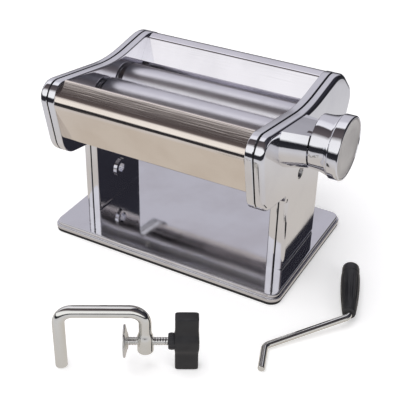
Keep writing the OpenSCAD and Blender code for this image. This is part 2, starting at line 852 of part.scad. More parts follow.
base_plate();
base_pad();
base_screws();
left_foot_block();
right_foot_block();
left_frame_plate();
right_frame_plate();
left_cover();
right_cover();
left_seam_strip();
right_seam_strip();
left_cover_screws();
right_cover_screws();
front_guard();
rear_guard();
tie_rods();
tie_rod_screws();
clamp_socket();
dial_collar();
collar_screws();
knob_shaft_bush();
rear_roller_bushes();
front_axle_bushes();
drive_shaft_bushes();
rear_scraper();
rear_roller();
rear_roller_gear();
drive_gear();
drive_shaft();
drive_pinion();
knob_shaft();
knob_pinion();
knob_retainer();
knob_body();
knob_cap();
knob_pin();
knob_spring();
front_axle();
setting_sector();
left_cheek();
right_cheek();
front_scraper();
front_roller();
front_roller_gear();
clamp_rod();
clamp_disc();
clamp_screw();
wing_knob();
crank_rod();
crank_grip();
grip_washer();
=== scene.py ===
import bmesh
import bpy
import json
import numpy as np
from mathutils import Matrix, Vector


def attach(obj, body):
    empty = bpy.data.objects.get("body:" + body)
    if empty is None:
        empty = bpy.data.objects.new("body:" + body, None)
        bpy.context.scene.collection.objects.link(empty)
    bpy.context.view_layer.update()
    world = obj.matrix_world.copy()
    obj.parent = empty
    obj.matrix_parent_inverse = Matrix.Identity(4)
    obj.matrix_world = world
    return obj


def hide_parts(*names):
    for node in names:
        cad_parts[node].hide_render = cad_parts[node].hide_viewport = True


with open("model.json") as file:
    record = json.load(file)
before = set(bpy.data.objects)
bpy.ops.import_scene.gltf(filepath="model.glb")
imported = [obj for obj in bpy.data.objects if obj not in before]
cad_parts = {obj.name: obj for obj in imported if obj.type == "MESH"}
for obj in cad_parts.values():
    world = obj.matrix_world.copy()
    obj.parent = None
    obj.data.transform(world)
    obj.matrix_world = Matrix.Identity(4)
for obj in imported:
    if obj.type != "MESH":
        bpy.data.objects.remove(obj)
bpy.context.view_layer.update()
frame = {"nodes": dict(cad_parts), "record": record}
mm = 0.001


# A node socket that can be used in sums and products.
class Wire:
    def __init__(self, finish, socket):
        self.finish = finish
        self.socket = socket

    def sum(self, kind, other, swap=False):
        values = {0: other, 1: self} if swap else {0: self, 1: other}
        return self.finish.node("ShaderNodeMath", {"operation": kind}, values)

    def __add__(self, other):
        return self.sum("ADD", other)

    def __radd__(self, other):
        return self.sum("ADD", other, True)

    def __mul__(self, other):
        return self.sum("MULTIPLY", other)

    def __rmul__(self, other):
        return self.sum("MULTIPLY", other, True)


# Places and colours of a ramp's stops.
def fillRamp(ramp, stops):
    while len(ramp.elements) < len(stops):
        ramp.elements.new(0.5)
    for element, (position, colour) in zip(ramp.elements, stops):
        element.position = position
        element.color = (*colour, 1)


# One material: node() adds a node, sets it up and feeds its sockets.
class Finish:
    def __init__(self, name, constants):
        self.material = bpy.data.materials.new(name)
        self.material.use_nodes = True
        self.tree = self.material.node_tree
        self.shader = self.tree.nodes["Principled BSDF"]
        for socketName, value in constants.items():
            self.shader.inputs[socketName].default_value = value
        place = self.tree.nodes.new("ShaderNodeTexCoord")
        self.place = Wire(self, place.outputs["Object"])

    def node(self, kind, settings, values, output=0):
        made = self.tree.nodes.new(kind)
        for key, value in settings.items():
            if key == "stops":
                fillRamp(made.color_ramp, value)
            else:
                setattr(made, key, value)
        for key, value in values.items():
            if isinstance(value, Wire):
                self.tree.links.new(value.socket, made.inputs[key])
            else:
                made.inputs[key].default_value = value
        return Wire(self, made.outputs[output])

    def noise(self, scale, detail=2.0, stretch=(1, 1, 1)):
        moved = self.node("ShaderNodeMapping", {}, {"Vector": self.place, "Scale": stretch})
        return self.node("ShaderNodeTexNoise", {}, {"Vector": moved, "Scale": scale,
                                                    "Detail": detail})

    def ramp(self, value, low, high):
        settings = {"stops": [(low, (0, 0, 0)), (high, (1, 1, 1))]}
        return self.node("ShaderNodeValToRGB", settings, {"Fac": value})

    def mix(self, factor, first, second):
        return self.node("ShaderNodeMix", {"data_type": "RGBA"},
                         {0: factor, 6: (*first, 1), 7: (*second, 1)}, 2)

    def feed(self, socketName, value):
        self.tree.links.new(value.socket, self.shader.inputs[socketName])
        return self

    def bump(self, height, strength, distance):
        lumps = self.node("ShaderNodeBump", {}, {"Height": height, "Strength": strength,
                                                 "Distance": distance})
        return self.feed("Normal", lumps)


# Plated or polished metal: faint waviness, fine haze and a few rubbed patches.
def platedFinish(name, look):
    made = Finish(name, {"Metallic": 1.0})
    patches = made.ramp(made.noise(look["patchScale"], 3.0), 0.42, 0.72)
    haze = made.noise(look["hazeScale"], 4.0, look["grain"])
    made.feed("Roughness", look["rough"] + look["patchRough"] * patches
              + look["hazeRough"] * haze)
    made.feed("Base Color", made.mix(patches, look["colour"], look["dull"]))
    waves = made.noise(look["waveScale"], 1.0)
    lines = made.noise(look["grainScale"], 2.0, look["grain"])
    made.bump(waves * look["wave"] + lines * look["line"], 1.0, 0.001)
    return made.material


# Moulded plastic or rubber: fine pitted grain, patches of dust and worn gloss.
def mouldedFinish(name, look):
    made = Finish(name, {"Metallic": 0.0, "Specular IOR Level": look["shine"]})
    wear = made.ramp(made.noise(look["patchScale"], 3.0), 0.4, 0.7)
    made.feed("Base Color", made.mix(wear, look["colour"], look["dull"]))
    made.feed("Roughness", look["rough"] + look["patchRough"] * wear)
    grain = made.noise(look["grainScale"], 3.0)
    made.bump(grain, look["line"], 0.0004)
    return made.material


chromeLook = {"colour": (0.86, 0.865, 0.90), "dull": (0.80, 0.80, 0.845), "rough": 0.035,
              "patchRough": 0.03, "patchScale": 28, "hazeRough": 0.03, "hazeScale": 420,
              "waveScale": 26, "wave": 0.16, "grainScale": 700, "grain": (1, 1, 1),
              "line": 0.012}
finishLooks = {
    "polishedChrome": chromeLook,
    "panelChrome": {**chromeLook, "rough": 0.06, "wave": 0.3, "waveScale": 19},
    "baseChrome": {**chromeLook, "colour": (0.74, 0.74, 0.78), "dull": (0.68, 0.67, 0.70),
                   "rough": 0.04, "wave": 0.12},
    # front guard steel: its warm beige tint is partly a painted reflection of a warm room, partly the
    # steel's own slightly warm tone
    "guardSteelWithWarmReflection": {**chromeLook, "colour": (0.87, 0.80, 0.735), "dull": (0.80, 0.72, 0.65),
                   "rough": 0.1, "grain": (0.03, 1, 1), "wave": 0.2, "line": 0.05},
    "rearGuardSteel": {**chromeLook, "colour": (0.92, 0.91, 0.95), "dull": (0.86, 0.85, 0.89),
                       "rough": 0.075, "grain": (0.03, 1, 1), "line": 0.04},
    "rollerSteel": {**chromeLook, "colour": (0.84, 0.83, 0.88), "dull": (0.77, 0.765, 0.81),
                    "rough": 0.26, "hazeRough": 0.08, "grain": (1, 0.05, 0.05),
                    "grainScale": 1300, "line": 0.06, "wave": 0.1},
    "gearSteel": {**chromeLook, "colour": (0.55, 0.55, 0.57), "dull": (0.44, 0.43, 0.43),
                  "rough": 0.28, "patchRough": 0.12, "line": 0.1},
    "brightScrew": {**chromeLook, "colour": (0.76, 0.76, 0.75), "dull": (0.62, 0.62, 0.60),
                    "rough": 0.2, "patchRough": 0.1, "patchScale": 160, "line": 0.08},
    "bronzeBush": {**chromeLook, "colour": (0.62, 0.45, 0.26), "dull": (0.5, 0.36, 0.2),
                   "rough": 0.35, "patchRough": 0.1, "line": 0.25},
    "satinCap": {**chromeLook, "colour": (0.78, 0.755, 0.73), "dull": (0.71, 0.69, 0.665),
                 "rough": 0.3, "patchRough": 0.06, "hazeRough": 0.1, "line": 0.1,
                 "wave": 0.15},
    "springSteel": {**chromeLook, "colour": (0.4, 0.4, 0.42), "dull": (0.33, 0.33, 0.35),
                    "rough": 0.25, "line": 0.1},
    "nickelRod": {**chromeLook, "colour": (0.84, 0.84, 0.81), "dull": (0.76, 0.76, 0.73),
                  "rough": 0.06, "waveScale": 60, "wave": 0.2},
    "zincBlock": {**chromeLook, "colour": (0.5, 0.51, 0.53), "dull": (0.42, 0.42, 0.44),
                  "rough": 0.42, "patchRough": 0.1, "line": 0.4, "patchScale": 90},
}
finishes = {name: platedFinish(name, look) for name, look in finishLooks.items()}

mouldedLooks = {
    "blackPlastic": {"colour": (0.016, 0.016, 0.019), "dull": (0.028, 0.028, 0.031),
                     "rough": 0.36, "patchRough": 0.16, "patchScale": 70, "shine": 0.45,
                     "grainScale": 1500, "line": 0.25},
    "blackRubber": {"colour": (0.012, 0.012, 0.014), "dull": (0.03, 0.03, 0.032),
                    "rough": 0.62, "patchRough": 0.2, "patchScale": 60, "shine": 0.3,
                    "grainScale": 900, "line": 0.4},
    "seamBlack": {"colour": (0.008, 0.008, 0.01), "dull": (0.016, 0.016, 0.018),
                  "rough": 0.6, "patchRough": 0.1, "patchScale": 60, "shine": 0.2,
                  "grainScale": 900, "line": 0.2},
}
finishes.update({name: mouldedFinish(name, look) for name, look in mouldedLooks.items()})
print("finishes ready:", len(finishes))


# Quads between neighbouring rows of a grid whose columns may run round.
def gridFaces(rows, columns, closed=True):
    last = columns if closed else columns - 1
    row, column = np.meshgrid(np.arange(rows - 1), np.arange(last), indexing="ij")
    here = row * columns + column
    beside = row * columns + (column + 1) % columns
    return np.stack([here, beside, beside + columns, here + columns], -1).reshape(-1, 4)


# Points in millimetres; each fill is a list of vertex loops that bound one flat face.
def addPiece(name, points, faces, finish, body, replaced=(), angle=32, fills=()):
    mesh = bpy.data.meshes.new(name)
    mesh.from_pydata((np.asarray(points, float) * mm).tolist(), [], [list(f) for f in faces])
    work = bmesh.new()
    work.from_mesh(mesh)
    work.verts.ensure_lookup_table()
    for loops in fills:
        edges = []
        for loop in loops:
            ring = [work.verts[int(i)] for i in loop]
            for a, b in zip(ring, ring[1:] + ring[:1]):
                edges.append(work.edges.get((a, b)) or work.edges.new((a, b)))
        bmesh.ops.triangle_fill(work, use_beauty=True, edges=edges)
    bmesh.ops.remove_doubles(work, verts=work.verts, dist=1e-6)
    bmesh.ops.recalc_face_normals(work, faces=work.faces)
    work.to_mesh(mesh)
    work.free()
    mesh.shade_smooth()
    mesh.set_sharp_from_angle(angle=np.radians(angle))
    mesh.materials.append(finishes[finish])
    piece = bpy.data.objects.new(name, mesh)
    bpy.context.scene.collection.objects.link(piece)
    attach(piece, body)
    if replaced:
        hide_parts(*replaced)


# Closed outline through [a, b, radius] corners, each moved in by inset and rounded.
def outline(corners, inset, perCorner=16):
    points, radius = corners[:, :2], corners[:, 2]
    back = np.roll(points, 1, 0) - points
    ahead = np.roll(points, -1, 0) - points
    back /= np.linalg.norm(back, axis=1, keepdims=True)
    ahead /= np.linalg.norm(ahead, axis=1, keepdims=True)
    convex = np.sign(ahead[:, 0] * back[:, 1] - ahead[:, 1] * back[:, 0])
    half = np.arccos(np.clip((back * ahead).sum(1), -1, 1)) / 2
    bisector = back + ahead
    bisector /= np.linalg.norm(bisector, axis=1, keepdims=True)
    corner = points + bisector * (inset / np.sin(half) * convex)[:, None]
    radius = np.maximum(np.where(convex > 0, radius - inset, radius + inset), 0.02)
    centre = corner + bisector * (radius / np.sin(half))[:, None]
    run = (radius / np.tan(half))[:, None]
    first, last = corner + back * run - centre, corner + ahead * run - centre
    start = np.arctan2(first[:, 1], first[:, 0])
    sweep = np.arctan2(last[:, 1], last[:, 0]) - start
    sweep = (sweep + np.pi) % (2 * np.pi) - np.pi
    turn = start[:, None] + sweep[:, None] * np.linspace(0, 1, perCorner)[None]
    ring = centre[:, None] + radius[:, None, None] * np.stack([np.cos(turn), np.sin(turn)], -1)
    return ring.reshape(-1, 2)


# Open path through [a, b, radius] corners: an arc at each inner corner.
def roundedPath(corners, perCorner=14):
    corners = np.asarray(corners, float)
    rounded = outline(corners, 0.0, perCorner).reshape(len(corners), perCorner, 2)[1:-1]
    return np.vstack([corners[:1, :2], rounded.reshape(-1, 2), corners[-1:, :2]])


# Points on a circle from one angle to another, in degrees.
def arc(centre, radius, start, stop, count):
    turn = np.radians(np.linspace(start, stop, count))
    return np.stack([centre[0] + radius * np.cos(turn), centre[1] + radius * np.sin(turn)], 1)


holeSteps = 48


# Rings of the outline at each [height, inset] of the profile, both ends filled flat
# with round holes [a, b, radius] that run from one end to the other.
def shellSolid(name, corners, profile, holes, toWorld, finish, body, replaced):
    rings = [np.column_stack([np.full(len(flat), height), flat])
             for height, flat in ((h, outline(corners, d)) for h, d in profile)]
    count = len(rings[0])
    points = np.vstack(rings)
    faces = [gridFaces(len(rings), count)]
    topLoops, endLoops = [range(count)], [range(len(points) - count, len(points))]
    turn = np.linspace(0, 2 * np.pi, holeSteps + 1)[:-1]
    for a, b, radius in holes:
        circle = np.column_stack([a + radius * np.cos(turn), b + radius * np.sin(turn)])
        for height, loops in ((profile[0][0], topLoops), (profile[-1][0], endLoops)):
            loops.append(range(len(points), len(points) + holeSteps))
            points = np.vstack([points, np.column_stack([np.full(holeSteps, height), circle])])
        faces.append(gridFaces(2, holeSteps) + len(points) - 2 * holeSteps)
    addPiece(name, toWorld(points), np.vstack(faces), finish, body, replaced,
             fills=[topLoops, endLoops])


# Profile [along, radius] turned round its axis; shape changes the radius by angle.
def latheSolid(name, profile, toWorld, finish, body, replaced=(), around=96, angle=32,
               shape=None):
    profile = np.asarray(profile, float)
    turn = np.linspace(0, 2 * np.pi, around + 1)[:-1]
    along, angleGrid = np.meshgrid(profile[:, 0], turn, indexing="ij")
    radius = np.repeat(profile[:, 1:2], around, 1)
    if shape is not None:
        radius = shape(along, radius, angleGrid)
    points = np.stack([along, radius * np.cos(angleGrid), radius * np.sin(angleGrid)], -1)
    addPiece(name, toWorld(points.reshape(-1, 3)), gridFaces(len(profile), around),
             finish, body, replaced, angle=angle)


# Circle of changing radius carried along a flat [a, b] path, domed at both ends.
def sweptRod(name, path, radius, toWorld, finish, body, replaced=(), around=40):
    path = np.asarray(path, float)
    radius = np.broadcast_to(radius, len(path)).astype(float)
    ahead = np.gradient(path, axis=0)
    ahead /= np.linalg.norm(ahead, axis=1, keepdims=True)
    dome = np.array([0.0, 0.55, 0.85, 1.0])
    inside = np.array([0.0, 0.06, 0.3, 0.8])
    startRings = path[0] + ahead[0] * inside[:, None]
    endRings = (path[-1] - ahead[-1] * inside[:, None])[::-1]
    middle = slice(1, -1)
    line = np.vstack([startRings, path[middle], endRings])
    facing = np.vstack([np.tile(ahead[0], (4, 1)), ahead[middle], np.tile(ahead[-1], (4, 1))])
    size = np.concatenate([radius[0] * dome, radius[middle], radius[-1] * dome[::-1]])
    turn = np.linspace(0, 2 * np.pi, around + 1)[:-1]
    side = np.column_stack([-facing[:, 1], facing[:, 0]])
    across = size[:, None] * np.cos(turn)[None]
    points = np.stack([line[:, None, 0] + side[:, None, 0] * across,
                       line[:, None, 1] + side[:, None, 1] * across,
                       size[:, None] * np.sin(turn)[None]], -1)
    addPiece(name, toWorld(points.reshape(-1, 3)), gridFaces(len(line), around),
             finish, body, replaced)


# Turns [x, a, b] surfaces about the X line through y = a, z = b.
def alongX(a, b):
    return lambda points: points + np.array([0.0, a, b])


def asIs(points):
    return points


def mirrored(points):
    return points * np.array([-1.0, 1.0, 1.0])


sides = {
    "corners": np.array([[-33, 8, 0], [31, 8, 0], [31, 76, 8], [78, 83, 16], [91, 111, 16],
                         [60, 141, 30], [2, 132.5, 120], [-88, 147.5, 13], [-75, 83, 18],
                         [-33, 76, 8]], float),
    "frameInner": 78.0, "frameOuter": 83.9, "coverInner": 85.0, "coverOuter": 91.7,
    "wall": 1.6, "frameSheet": 2.0, "frameRound": 0.8, "coverRound": 3.6, "roundSteps": 7,
    "bushHole": 7.0, "knobShaftHole": 5.0, "journalHole": 12.5, "journalRise": 2.1,
    "crankRingHole": 5.8, "clampSocketHole": 7.0,
}
rearAxis = (16.2, 109.0)
frontAxis = (-16.2, 109.0)
axleAxis = (-17.3317, 107.231)
knobAxis = (-34.5702, 129.2953)
driveAxis = (-11.8938, 86.2501)
clampHole = (0.0, 34.0)


# From the flat face over the rounded rim to the seam, and back along the wall.
def coverProfile(s):
    r, flat = s["coverRound"], s["coverRound"] + 0.5
    rim = arc((s["coverOuter"] - r, r), r, 0, -90, s["roundSteps"])
    return [[s["coverOuter"], flat], *rim.tolist(), [s["coverInner"] + 0.3, 0.0],
            [s["coverInner"], 0.3], [s["coverInner"], s["wall"]],
            [s["coverOuter"] - s["wall"], flat]]


# From the flat inner face over its small round to the seam.
def frameProfile(s):
    r, flat = s["frameRound"], s["frameRound"] + 1.2
    rim = arc((s["frameInner"] + r, r), r, 180, 270, 5)
    return [[s["frameInner"], flat], *rim.tolist(), [s["frameOuter"] - 0.4, 0.0],
            [s["frameOuter"], 0.4], [s["frameOuter"], s["wall"]],
            [s["frameInner"] + s["frameSheet"], flat]]


def makeSides(s):
    bush, socket = s["bushHole"], [*clampHole, s["clampSocketHole"]]
    holes = {
        "right_cover": [[*driveAxis, s["crankRingHole"]]],
        "left_cover": [socket],
        "right_frame_plate": [[*rearAxis, bush], [*axleAxis, bush], [*driveAxis, bush],
                              [*knobAxis, s["knobShaftHole"]]],
        "left_frame_plate": [[*rearAxis, bush],
                             [axleAxis[0], axleAxis[1] + s["journalRise"], s["journalHole"]],
                             socket],
    }
    for node, cuts in holes.items():
        cover = "cover" in node
        shellSolid(node + "Skin", s["corners"], coverProfile(s) if cover else frameProfile(s),
                   cuts, asIs if node.startswith("right") else mirrored,
                   "panelChrome" if cover else "polishedChrome", "frame",
                   [node])


makeSides(sides)
print("sides ready")


base = {"width": 206.0, "depth": 134.0, "corner": 9.0, "bottom": 2.4, "step": 5.4, "top": 8.0,
        "ledge": 1.6, "stepRound": 0.8, "topRound": 1.1}


# Rounded rectangle that rises to a ledge, then to a raised flat top with soft edges.
def makeBase(b):
    w, d = b["width"] / 2, b["depth"] / 2
    corners = np.array([[-w, -d, b["corner"]], [w, -d, b["corner"]], [w, d, b["corner"]],
                        [-w, d, b["corner"]]])
    small, large = b["stepRound"], b["topRound"]
    low = arc((b["step"] - small, small), small, 270, 360, 5)
    high = arc((b["top"] - large, b["ledge"] + large), large, 270, 360, 7)
    profile = [[b["bottom"], 3.0], [b["bottom"], 0.3], [b["bottom"] + 0.3, 0.0],
               *low.tolist(), [b["step"] - 0.15, b["ledge"] - 0.2],
               [b["step"] + 0.1, b["ledge"]], *high.tolist(), [b["top"], b["ledge"] + 1.6]]
    shellSolid("baseSkin", corners, profile, [], lambda p: p[:, [1, 2, 0]], "baseChrome",
               "frame", ["base_plate"])


makeBase(base)
print("base ready")


guards = {
    "front_guard": {"corners": [[-67, 97.5, 0], [-72, 95.5, 2.2], [-86.4, 134.4, 9.5],
                                [-68, 144.8, 2.2], [-64, 141.4, 0]],
                    "finish": "guardSteelWithWarmReflection"},
    "rear_guard": {"corners": [[38, 104, 0], [38, 119.5, 2.2], [49.5, 136.6, 3],
                               [60, 138.9, 14], [88.6, 110.4, 15], [78, 88, 2.2], [74, 90, 0]],
                   "finish": "rearGuardSteel"},
    "sheet": 1.2, "reach": 77.97,  # just short of the side frames' inner faces
}


# Bent strip of sheet carried straight across between the sides.
def makeGuard(node, g):
    path = roundedPath(g["corners"], 18)
    ahead = np.gradient(path, axis=0)
    ahead /= np.linalg.norm(ahead, axis=1, keepdims=True)
    inner = path + guards["sheet"] * np.column_stack([ahead[:, 1], -ahead[:, 0]])
    loop = np.vstack([path, inner[::-1]])
    across = np.linspace(-guards["reach"], guards["reach"], 9)
    points = np.vstack([np.column_stack([np.full(len(loop), x), loop]) for x in across])
    count, half = len(loop), len(path)
    caps = [[i, i + 1, count - 2 - i, count - 1 - i] for i in range(half - 1)]
    faces = [*gridFaces(len(across), count).tolist(), *caps,
             *[[v + count * (len(across) - 1) for v in face] for face in caps]]
    addPiece(node + "Skin", points, faces, g["finish"], "frame", [node], 40)


for node in ("front_guard", "rear_guard"):
    makeGuard(node, guards[node])
print("guards ready")


rollers = {"radius": 16.0, "half": 75.0, "chamfer": 0.7}


# Cylinder with softened ends, a shallow turned recess in each face, and its journals.
def makeRoller(name, axis, neck, left, right, body, replaced):
    r, h, c = rollers["radius"], rollers["half"], rollers["chamfer"]
    end = [[h, neck[1]], [h, r - 3.2], [h - 0.5, r - 3.0], [h - 0.5, r - 2.0],
           [h, r - 1.8], [h, r - c], [h - 0.3 * c, r - 0.3 * c], [h - c, r]]
    start = [[-along, radius if along < h or radius != neck[1] else neck[0]]
             for along, radius in end]
    profile = [[left, neck[0] - 0.4], [left + 0.4, neck[0]], *start, *end[::-1]]
    if right > h:
        profile = [[left, 0], *profile, [right - 0.4, neck[1]], [right, neck[1] - 0.4],
                   [right, 0]]
    else:
        profile = [[left, neck[1]], *profile, [left, neck[1]]]
    latheSolid(name, profile, alongX(*axis), "rollerSteel", body, replaced, 128)


makeRoller("rearRollerBody", rearAxis, (5.0, 5.0), -86.1, 89.4, "rear_roller", ["rear_roller"])
# the front roller is bored right through for its axle
makeRoller("frontRollerBody", frontAxis, (9.0, 4.45), -86.1, 75.0, "front_roller",
           ["front_roller"])
print("rollers ready")


knob = {"start": 110.8, "length": 22.4, "neck": 19.7, "rim": 23.0, "bore": 17.0}


# Turned body: waist that swells to a rounded rim, hollow behind, dished in front.
def makeKnob(k):
    t = np.linspace(0, 1, 15)[1:]
    waist = np.column_stack([1.6 + 12.0 * t, k["neck"] + 0.15 + (k["rim"] - k["neck"] - 1.15)
                             * t ** 2.2])
    lip = arc((15.3, k["rim"] - 0.9), 0.9, 130, 90, 4)
    front = arc((k["length"] - 1.1, k["rim"] - 1.1), 1.1, 90, 0, 6)
    profile = [[6.0, 0], [6.0, k["bore"]], [0.4, k["bore"]], [0.0, k["bore"] + 0.4],
               [0.0, k["neck"] - 0.5], [0.5, k["neck"]], [1.6, k["neck"] + 0.15],
               *waist.tolist(), [14.0, k["rim"] - 1.0], *lip.tolist(), *front.tolist(),
               [k["length"], k["rim"] - 1.35], [k["length"] - 0.5, k["rim"] - 1.6],
               [k["length"] - 1.6, k["rim"] - 1.6], [k["length"] - 1.6, 0]]
    turned = alongX(*knobAxis)
    place = lambda points: turned(points + np.array([k["start"], 0, 0]))
    latheSolid("knobShell", profile, place, "polishedChrome", "knob",
               ["knob_body"], 128)
    face = k["rim"] - 1.7
    disc = [[k["length"] - 1.9, 0], [k["length"] - 1.9, face], [k["length"] - 0.5, face],
            [k["length"] - 0.25, face - 0.35], [k["length"] - 0.2, face - 1.4],
            [k["length"] - 0.32, face - 1.7], [k["length"] - 0.28, face - 8],
            [k["length"] - 0.18, 0]]
    latheSolid("knobFace", disc, place, "satinCap", "knob", ["knob_cap"], 128)


makeKnob(knob)
print("knob ready")


clamp = {"at": (0.5, -197.0, 0.0), "turn": 30.0, "rod": 4.3, "span": 58.0, "height": 52.0,
         "bend": 10.0, "screwHeight": 22.0, "screw": 2.9, "pitch": 1.8, "thread": 0.42,
         "legEnd": 13.5, "boss": 5.6, "bossTop": 31.0, "bossFade": 6.0, "disc": 43.0, "discRadius": 11.5,
         "wing": 74.0, "wingHalf": 22.0, "wingMiddle": 86.0}


# Turns points about the vertical, then moves them to origin.
def turnedAbout(origin, degreesRound, swap=None):
    a = np.radians(degreesRound)
    spin = np.array([[np.cos(a), -np.sin(a), 0], [np.sin(a), np.cos(a), 0], [0, 0, 1]])

    def place(points):
        if swap is not None:
            points = swap(points)
        return points @ spin.T + np.array(origin)
    return place


def makeClamp(c):
    upright = turnedAbout(c["at"], c["turn"], lambda p: p[:, [0, 2, 1]] * (1, -1, 1))
    top = c["height"] - c["rod"]
    path = roundedPath([[0, 0, 0], [0, top, c["bend"]], [c["span"], top, c["bend"]],
                        [c["span"], c["legEnd"], 0]], 18)
    # extra points down both legs, so that the leg's end can swell
    leftLeg = np.column_stack([np.zeros(6), np.linspace(0, top - c["bend"] - 1, 6)])
    down = np.linspace(top - c["bend"] - 1, c["legEnd"], 28)
    rightLeg = np.column_stack([np.full(len(down), c["span"]), down])
    path = np.vstack([leftLeg, path[1:-1], rightLeg])
    share = np.clip((c["bossTop"] - down) / c["bossFade"], 0, 1)
    radius = np.full(len(path), c["rod"])
    radius[-len(down):] += (c["boss"] - c["rod"]) * share ** 2 * (3 - 2 * share)
    sweptRod("clampRod", path, radius, upright, "nickelRod", "clamp",
             ["clamp_rod"], 48)

    lying = turnedAbout((c["at"][0], c["at"][1], c["screwHeight"]), c["turn"])
    # screw: radius falls and rises with the angle plus the distance along, over the pitch
    start, stop = c["disc"] + 1.6, c["wingMiddle"]
    rows = int((stop - start) / c["pitch"] * 10)
    along = np.linspace(start, stop, rows)
    plain = [[start, 0.0], *np.column_stack([along, np.full(rows, c["screw"])]).tolist(),
             [stop, 0.0]]

    def thread(distance, size, angle):
        phase = (distance / c["pitch"] + angle / (2 * np.pi)) % 1.0
        groove = c["thread"] * (1 - np.abs(2 * phase - 1))
        fade = np.clip((distance - start - 1.4) / 1.5, 0, 1)
        return np.where(size > 0, size - groove * fade, 0.0)
    latheSolid("clampScrew", plain, lying, "brightScrew", "clamp_screw",
               ["clamp_screw"], 40, 50, thread)

    r = c["discRadius"]
    disc = [[0.5, 0], [0.4, 4.0], [0.0, r - 1.0], [0.25, r - 0.2], [0.8, r], [1.5, r - 0.4],
            [2.3, r - 3.5], [2.8, 6.2], [3.4, 5.0], [3.4, 3.0], [1.6, 2.95], [1.6, 0]]
    latheSolid("clampDisc", [[u + c["disc"], v] for u, v in disc], lying, "brightScrew",
               "clamp_pad", ["clamp_disc"], 96)
    makeWing(c, lying)


# Bar along the vertical: a rounded oblong whose size swells at the middle and closes
# over both ends, and a turned collar towards the screw.
def makeWing(c, lying):
    half = c["wingHalf"]
    steps = np.concatenate([[-1], -1 + np.array([0.0, 0.004, 0.014, 0.03]),
                            np.linspace(-0.95, 0.95, 41), 1 - np.array([0.03, 0.014, 0.004, 0]),
                            [1]])
    ends = np.clip((1 - np.abs(steps)) / 0.03, 0, 1)
    ends = np.where(np.abs(steps) >= 1, 0.86, 0.86 + 0.14 * np.sqrt(1 - (1 - ends) ** 2))
    ends[[0, -1]] = 0.0
    middle = np.exp(-(steps * half / 6.5) ** 4)
    halfU = (8.0 + 0.55 * middle) * ends
    halfW = (3.9 + 1.9 * middle + 0.6 * np.abs(steps)) * ends
    turn = np.linspace(0, 2 * np.pi, 65)[:-1]
    soft = lambda v: np.sign(v) * np.abs(v) ** 0.27
    u = c["wingMiddle"] + halfU[:, None] * soft(np.cos(turn))[None]
    w = halfW[:, None] * soft(np.sin(turn))[None]
    z = np.repeat(steps[:, None] * half, 64, 1)
    points = np.stack([u, w, z], -1).reshape(-1, 3)
    faces = gridFaces(len(steps), 64)
    addPiece("wingBar", lying(points), faces, "blackPlastic", "clamp_screw",
             ["wing_knob"], 40)
    collar = [[c["wing"] - 0.6, 2.9], [c["wing"] - 0.6, 4.9], [c["wing"], 5.6],
              [c["wing"] + 1.6, 5.9], [c["wing"] + 3.6, 5.7], [c["wing"] + 6.0, 5.2],
              [c["wing"] + 6.0, 2.9]]
    flutes = lambda along, size, angle: size - 0.25 * (size > 4) * (1 + np.cos(12 * angle))
    latheSolid("wingCollar", [*collar, collar[0]], lying, "blackPlastic", "clamp_screw",
               (), 96, 40, flutes)


makeClamp(clamp)
print("clamp ready")


crank = {"at": (156.0, -58.0, 7.7), "turn": 19.0, "rod": 2.5, "throw": 57.0, "lean": 37.0,
         "leg": 24.0, "bend": 6.0, "gap": 3.0, "grip": 56.0, "gripRadius": 7.7,
         "ribs": (8, 43)}


def makeCrank(c):
    tilt = -np.arcsin((c["gripRadius"] - c["rod"]) / c["throw"])
    lean = np.array([[np.cos(tilt), 0, np.sin(tilt)], [0, 1, 0],
                     [-np.sin(tilt), 0, np.cos(tilt)]])
    place = turnedAbout(c["at"], c["turn"], lambda p: p @ lean.T)
    path = roundedPath([[0, c["gap"] + c["grip"] + 1.4, 0], [0, 0, c["bend"]],
                        [-c["throw"], -c["lean"], c["bend"]],
                        [-c["throw"], -c["lean"] - c["leg"], 0]], 16)
    path = np.vstack([np.column_stack([np.zeros(4), np.linspace(path[0, 1], 6, 4)]), path[1:]])
    leg = np.column_stack([np.full(5, path[-1, 0]), np.linspace(path[-2, 1], path[-1, 1], 6)[1:]])
    path = np.vstack([path[:-1], leg])
    sweptRod("crankRod", path, c["rod"], place, "nickelRod", "crank",
             ["crank_rod"], 40)
    # grip: slim at the rod, fullest two thirds up, with a stepped cap at the far end
    t = np.linspace(0, 1, 25)
    swell = c["gripRadius"] - 2.75 * (1 - t) ** 2 - 0.7 * t ** 4
    body = np.column_stack([1.2 + 45.0 * t, swell])
    profile = [[0, 2.6], [0, body[0, 1] - 0.9], [0.4, body[0, 1] - 0.3], *body.tolist(),
               [46.6, 6.4], [47.2, 6.4], [47.6, 6.75], [54.6, 6.6], [55.5, 6.45],
               [56.0, 5.9], [56.0, 2.6]]
    handle = lambda p: place(p[:, [1, 0, 2]] * (-1, 1, 1) + np.array([0, c["gap"], 0]))

    # shallow grooves run along the grip and fade out at both ends of their run
    def ribs(along, size, angle):
        first, last = c["ribs"]
        fade = np.clip((along - first) / 6, 0, 1) * np.clip((last - along) / 6, 0, 1)
        return size - 0.16 * (size > 5) * (1 + np.cos(16 * angle)) * fade

    latheSolid("crankGrip", [*profile, profile[0]], handle, "blackPlastic", "crank_grip",
               ["crank_grip"], 128, 40, ribs)


makeCrank(crank)
print("crank ready")


slotFinish = {
    "polished_chrome": "polishedChrome", "guard_steel": "guardSteelWithWarmReflection",
    "roller_steel": "rollerSteel", "gear_steel": "gearSteel", "bright_screw": "brightScrew",
    "bronze_bush": "bronzeBush", "satin_cap": "satinCap", "spring_steel": "springSteel",
    "black_rubber": "blackRubber", "seam_black": "seamBlack",
    "black_plastic": "blackPlastic", "nickel_rod": "nickelRod", "zinc_block": "zincBlock",
}
lookOf = {"drive_shaft_bushes": "brightScrew"}
slotOf = {row["node"]: row["material_slot"] for row in frame["record"]["subparts"]}
for node, cadPiece in frame["nodes"].items():
    chosen = finishes[lookOf.get(node, slotFinish[slotOf[node]])]
    for slot in cadPiece.material_slots:
        slot.material = chosen
print("carried-over nodes dressed:", len(slotOf))


